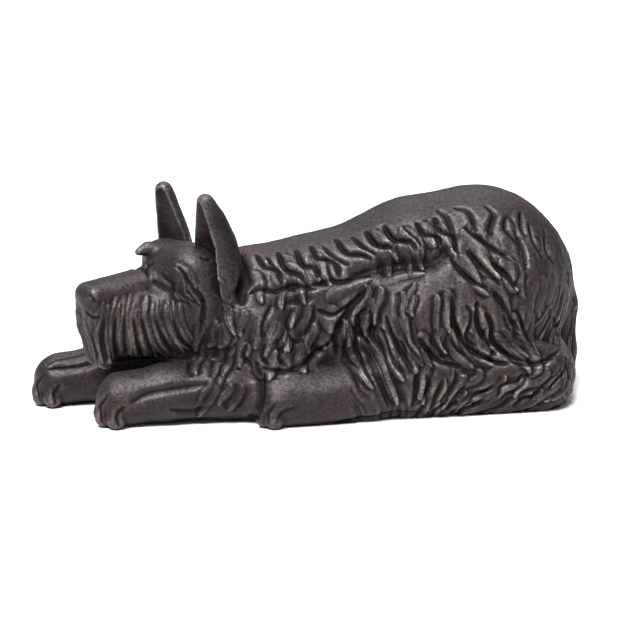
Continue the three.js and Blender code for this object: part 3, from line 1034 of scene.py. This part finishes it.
# ---------------------------------------------------------------- fasteners
def make_screw(name):
    """A slotted fillister-head screw: a domed head, and a thread below a bare length of shank."""
    low, high = cad_box_mm(name)
    x, _, z = axis_of(name)
    tip, top = low[1], high[1]
    under = top - SCREW["head_height"]
    shoulder = top - CROWN_HEIGHT
    crest, root, head = THREAD["crest"], THREAD["root"], SCREW["head"]
    profile = [(0, tip), (root - 0.5, tip), (root, tip + 0.6)]
    y = tip + 0.9
    while y + THREAD["pitch"] < under - THREAD["bare_length"]:
        profile += [(root, y), (crest, y + 0.42), (crest, y + 0.62), (root, y + 1.04)]
        y += THREAD["pitch"]
    profile += [(crest, y + 0.6), (crest, under)]
    profile += [(head - 0.3, under), (head, under + 0.3), (head, shoulder)]
    for i in range(1, CROWN_STEPS + 1):
        angle = i / CROWN_STEPS * math.pi / 2
        radius = head * math.cos(angle) if i < CROWN_STEPS else 0
        profile.append((radius, shoulder + CROWN_HEIGHT * math.sin(angle)))
    obj = turned(name + "_turned", profile, (x, 0, z))
    slot_low = (x - SLOT["half_length"], top - SLOT["depth"], z - SLOT["half_width"])
    slot_high = (x + SLOT["half_length"], top + SLOT["depth"], z + SLOT["half_width"])
    slot = box_object("slot", slot_low, slot_high)
    applied(obj, slot, "DIFFERENCE")
    discard(slot)
    obj.data.set_sharp_from_angle(angle=math.radians(35))
    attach(obj, "root")
    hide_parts(name)
    return obj


def make_pin(name):
    low, high = cad_box_mm(name)
    radius, chamfer = PIN["body"], PIN["chamfer"]
    profile = [(0, low[1]), (radius - chamfer, low[1]), (radius, low[1] + chamfer),
               (radius, high[1] - chamfer), (radius - chamfer, high[1]), (0, high[1])]
    obj = turned(name + "_turned", profile, axis_of(name))
    obj.data.set_sharp_from_angle(angle=math.radians(35))
    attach(obj, "root")
    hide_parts(name)
    return obj


# ---------------------------------------------------------------- materials
class Nodes:
    """Short hand for building a material's nodes."""

    def __init__(self, name):
        self.material = bpy.data.materials.new(name)
        self.material.use_nodes = True
        self.tree = self.material.node_tree
        self.shader = self.tree.nodes["Principled BSDF"]

    def add(self, kind, inputs=None, **settings):
        node = self.tree.nodes.new(kind)
        for key, value in settings.items():
            setattr(node, key, value)
        for key, value in (inputs or {}).items():
            if isinstance(value, bpy.types.NodeSocket):
                self.tree.links.new(value, node.inputs[key])
            else:
                node.inputs[key].default_value = value
        return node

    def link(self, output, socket):
        self.tree.links.new(output, self.shader.inputs[socket])

    def attribute(self, name):
        return self.add("ShaderNodeAttribute", attribute_name=name).outputs["Fac"]

    def height(self):
        """The height above the floor, in metres: every object's origin stands on it."""
        place = self.add("ShaderNodeTexCoord").outputs["Object"]
        return self.add("ShaderNodeSeparateXYZ", {"Vector": place}).outputs["Z"]

    def upward(self):
        """1 where the surface faces up, and -1 where it faces down."""
        facing = self.add("ShaderNodeNewGeometry").outputs["Normal"]
        return self.add("ShaderNodeSeparateXYZ", {"Vector": facing}).outputs["Z"]

    def noise(self, scale, detail=4.0, roughness=0.55):
        place = self.add("ShaderNodeTexCoord").outputs["Object"]
        inputs = {"Vector": place, "Scale": scale, "Detail": detail, "Roughness": roughness}
        return self.add("ShaderNodeTexNoise", inputs).outputs["Fac"]

    def stretch(self, value, low, high, to_low=0.0, to_high=1.0):
        inputs = {"Value": value, "From Min": low, "From Max": high, "To Min": to_low, "To Max": to_high}
        return self.add("ShaderNodeMapRange", inputs, interpolation_type="SMOOTHSTEP").outputs["Result"]

    def maths(self, operation, *values):
        return self.add("ShaderNodeMath", dict(enumerate(values)), operation=operation).outputs[0]

    def times(self, a, b):
        return self.maths("MULTIPLY", a, b)

    def plus(self, a, b):
        return self.maths("ADD", a, b)

    def blend(self, factor, a, b):
        """Colour a where factor is 0, and colour b where it is 1."""
        return self.add("ShaderNodeMix", {0: factor, 6: a, 7: b}, data_type="RGBA").outputs[2]


def rgb(r, g, b):
    return (r, g, b, 1.0)


def patina():
    """Old iron: near black in the cuts and dark purple-brown in the hollows, patina there together with
    painted shade; rubbed grey-tan on the ridges; painted shade darker towards the floor and painted light
    on the surfaces that face up.
    """
    n = Nodes("patinated_iron")
    hollow, rise = n.attribute("hollow"), n.attribute("rise")
    cloud = n.noise(45, 5, 0.6)
    patch = n.noise(18, 3, 0.5)
    speck = n.noise(750, 3, 0.75)
    across = n.add("ShaderNodeTexNoise", {"W": n.attribute("strand"), "Scale": 0.75, "Detail": 2.0},
                   noise_dimensions="1D").outputs["Fac"]
    across = n.maths("MULTIPLY_ADD", n.maths("SUBTRACT", across, 0.5), n.attribute("combed"), 0.5)
    ground = n.blend(n.stretch(patch, 0.35, 0.65), rgb(0.050, 0.040, 0.047), rgb(0.066, 0.041, 0.038))
    ground = n.blend(n.stretch(cloud, 0.3, 0.7), rgb(0.024, 0.018, 0.023), ground)
    # patina and painted shade: the broad hollows go dark purple-brown
    low = n.stretch(rise, 0.15, -0.6)
    brown = n.blend(n.times(low, 0.85), ground, rgb(0.016, 0.008, 0.010))
    # painted shade: the colour darkens towards the floor, where the lower body is in shade
    brown = n.blend(n.stretch(n.height(), 0.05, 0.005, 0.0, 0.5), brown, rgb(0.018, 0.011, 0.014))
    # painted light: surfaces that face up are made lighter, outside the cuts
    painted_top_light = n.times(n.stretch(n.upward(), 0.1, 0.95), n.stretch(hollow, -0.5, 0.2))
    brown = n.blend(n.times(painted_top_light, 0.6), brown, rgb(0.082, 0.075, 0.079))
    raised = n.plus(n.times(hollow, 0.35), n.times(rise, 0.7))
    rub = n.stretch(raised, 0.05, 1.0)
    rub = n.times(rub, n.stretch(cloud, 0.25, 0.6, 0.35, 1.0))
    worn = n.blend(rub, brown, rgb(0.260, 0.228, 0.212))
    # patina and painted shade: the fine cuts and broad hollows go near black
    deep = n.stretch(n.plus(hollow, n.times(rise, 0.7)), 0.1, -0.45)
    dark = n.blend(deep, worn, rgb(0.002, 0.0016, 0.0017))
    dark = n.blend(n.stretch(across, 0.48, 0.32, 0.0, 0.45), dark, rgb(0.010, 0.006, 0.006))
    grain = n.blend(n.stretch(speck, 0.45, 0.62, 0.0, 0.7), dark, rgb(0.010, 0.006, 0.008))
    n.link(grain, "Base Color")
    rough = n.stretch(hollow, -0.6, 0.6, 0.62, 0.42)
    rough = n.plus(rough, n.stretch(cloud, 0.3, 0.7, -0.05, 0.07))
    n.link(rough, "Roughness")
    n.shader.inputs["Metallic"].default_value = 0.6
    n.shader.inputs["Specular IOR Level"].default_value = 0.35
    hair = n.add("ShaderNodeBump", {"Height": across, "Strength": 0.8, "Distance": 0.0009})
    fine = n.add("ShaderNodeBump", {"Height": speck, "Strength": 0.6, "Distance": 0.0003,
                                    "Normal": hair.outputs[0]})
    pits = n.add("ShaderNodeBump", {"Height": n.noise(330, 4, 0.6), "Strength": 0.4, "Distance": 0.0004,
                                    "Normal": fine.outputs[0]})
    n.link(pits.outputs[0], "Normal")
    return n.material


def blackened_steel():
    n = Nodes("screw_steel")
    cloud, speck = n.noise(260, 4, 0.6), n.noise(1400, 2, 0.6)
    worn = n.blend(n.stretch(cloud, 0.4, 0.7), rgb(0.035, 0.028, 0.025), rgb(0.14, 0.12, 0.11))
    n.link(worn, "Base Color")
    n.link(n.stretch(cloud, 0.3, 0.7, 0.55, 0.35), "Roughness")
    n.shader.inputs["Metallic"].default_value = 0.8
    bump = n.add("ShaderNodeBump", {"Height": speck, "Strength": 0.25, "Distance": 0.0001})
    n.link(bump.outputs[0], "Normal")
    return n.material


def ground_steel():
    n = Nodes("pin_steel")
    place = n.add("ShaderNodeTexCoord").outputs["Object"]
    along = n.add("ShaderNodeMapping", {"Vector": place, "Scale": (1, 30, 1)}).outputs[0]
    line = n.add("ShaderNodeTexNoise", {"Vector": along, "Scale": 300, "Detail": 3}).outputs["Fac"]
    n.link(n.blend(line, rgb(0.32, 0.31, 0.30), rgb(0.5, 0.49, 0.48)), "Base Color")
    n.link(n.stretch(line, 0.3, 0.7, 0.3, 0.45), "Roughness")
    n.shader.inputs["Metallic"].default_value = 1.0
    return n.material


# ---------------------------------------------------------------- studio
VIEW_AZIMUTH, VIEW_ELEVATION = -12.0, 12.0
VIEW_DISTANCE = 1.0
FRAME_WIDTH = 0.336  # what the picture spans at the figure
AIM = (0.0, 0.0, 0.060)
AIM_RIGHT, AIM_DOWN = 0.0079, 0.0152  # the figure sits left of the picture's middle and above it


def look(obj, back):
    obj.rotation_euler = (-back).to_track_quat("-Z", "Y").to_euler()


def direction(azimuth, elevation):
    a, e = math.radians(azimuth), math.radians(elevation)
    return Vector((math.sin(a) * math.cos(e), -math.cos(a) * math.cos(e), math.sin(e)))


def add_camera():
    back = direction(VIEW_AZIMUTH, VIEW_ELEVATION)
    right = Vector((math.cos(math.radians(VIEW_AZIMUTH)), math.sin(math.radians(VIEW_AZIMUTH)), 0))
    up = back.cross(right)
    aim = Vector(AIM) + Vector((SHIFT_X * MM, 0, 0)) + right * AIM_RIGHT - up * AIM_DOWN
    data = bpy.data.cameras.new("camera")
    camera = bpy.data.objects.new("camera", data)
    bpy.context.scene.collection.objects.link(camera)
    camera.location = aim + back * VIEW_DISTANCE
    look(camera, back)
    data.sensor_width = 36
    data.lens = data.sensor_width * VIEW_DISTANCE / FRAME_WIDTH
    bpy.context.scene.camera = camera


def add_sun(name, azimuth, elevation, spread, power):
    data = bpy.data.lights.new(name, "SUN")
    data.angle = math.radians(spread)
    data.energy = power
    light = bpy.data.objects.new(name, data)
    bpy.context.scene.collection.objects.link(light)
    look(light, direction(azimuth, elevation))


def add_studio():
    mesh = bpy.data.meshes.new("floor")
    mesh.from_pydata([(-6, -6, 0), (6, -6, 0), (6, 6, 0), (-6, 6, 0)], [], [(0, 1, 2, 3)])
    floor = bpy.data.objects.new("floor", mesh)
    bpy.context.scene.collection.objects.link(floor)
    n = Nodes("pale_floor")
    n.shader.inputs["Base Color"].default_value = rgb(0.86, 0.86, 0.86)
    n.shader.inputs["Roughness"].default_value = 0.9
    mesh.materials.append(n.material)
    world = bpy.data.worlds.new("studio")
    world.use_nodes = True
    world.node_tree.nodes["Background"].inputs["Color"].default_value = rgb(1, 1, 1)
    world.node_tree.nodes["Background"].inputs["Strength"].default_value = 0.26
    bpy.context.scene.world = world
    add_sun("key", -30, 57, 25, 6.6)
    add_sun("back", 165, 55, 50, 0.8)


bpy.context.scene.view_settings.view_transform = "Standard"
add_camera()
add_studio()
IRON, SCREW_STEEL, PIN_STEEL = patina(), blackened_steel(), ground_steel()
for casting in make_castings():
    casting.data.materials.clear()
    casting.data.materials.append(IRON)
for screw_name in SCREWS:
    make_screw(screw_name).data.materials.append(SCREW_STEEL)
for pin_name in PINS:
    make_pin(pin_name).data.materials.append(PIN_STEEL)
